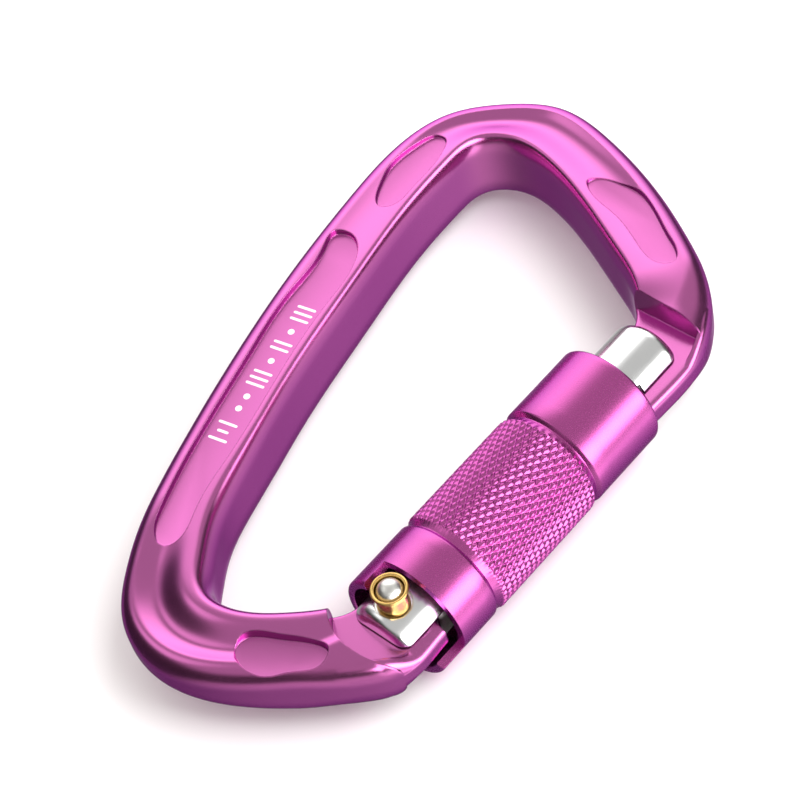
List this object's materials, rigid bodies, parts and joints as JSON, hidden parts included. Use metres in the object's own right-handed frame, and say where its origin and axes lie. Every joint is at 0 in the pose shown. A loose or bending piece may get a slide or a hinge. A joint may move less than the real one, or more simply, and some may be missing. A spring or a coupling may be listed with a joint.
{
  "type": "locking carabiner",
  "caption": "D-shaped aluminium climbing connector with a spring gate and a knurled twist-lock sleeve that turns on the gate and springs back.",
  "frame": {"origin": "under the middle of the outline seen from the front, on the plane that the back of the sleeve touches", "axes": "+Z through the thickness towards the face with the guide bush, +Y along the gate from the hinge to the nose, +X from the spine to the gate"},
  "size_m": [0.0604, 0.1034, 0.0176],
  "materials": {
    "anodised": "glossy magenta anodising",
    "gate_metal": "polished, clear",
    "steel": "bright",
    "brass": "polished",
    "spring_steel": "drawn wire",
    "polymer": "moulded, black"
  },
  "bodies": {
    "frame": {"frame_body": "anodised"},
    "gate": {"gate_body": "gate_metal", "hinge_rivet": "steel", "guide_bush": "brass", "gate_spring": "spring_steel", "torsion_spring": "spring_steel", "lower_bearing_ring": "polymer", "upper_bearing_ring": "polymer", "retaining_ring": "steel"},
    "sleeve": {"lock_sleeve": "anodised"},
    "plunger": {"gate_plunger": "steel"}
  },
  "joints": [
    {"name": "gate_swing", "type": "hinge", "parent": "frame", "child": "gate", "pos_m": [0.02195, -0.0278, 0.0083], "axis": [0, 0, 1], "range_deg": [0, 21], "stiffness_Nm_per_rad": 0.05},
    {"name": "sleeve_twist", "type": "hinge", "parent": "gate", "child": "sleeve", "pos_m": [0.02195, -0.0278, 0.0083], "axis": [0, -1, 0], "range_deg": [0, 85], "stiffness_Nm_per_rad": 0.005},
    {"name": "plunger_slide", "type": "slide", "parent": "gate", "child": "plunger", "axis": [0, 1, 0], "range_m": [0, 0.001]}
  ],
  "couplings": [
    {"joint": "plunger_slide", "follows": "gate_swing", "m_per_rad": 0.0026}
  ]
}
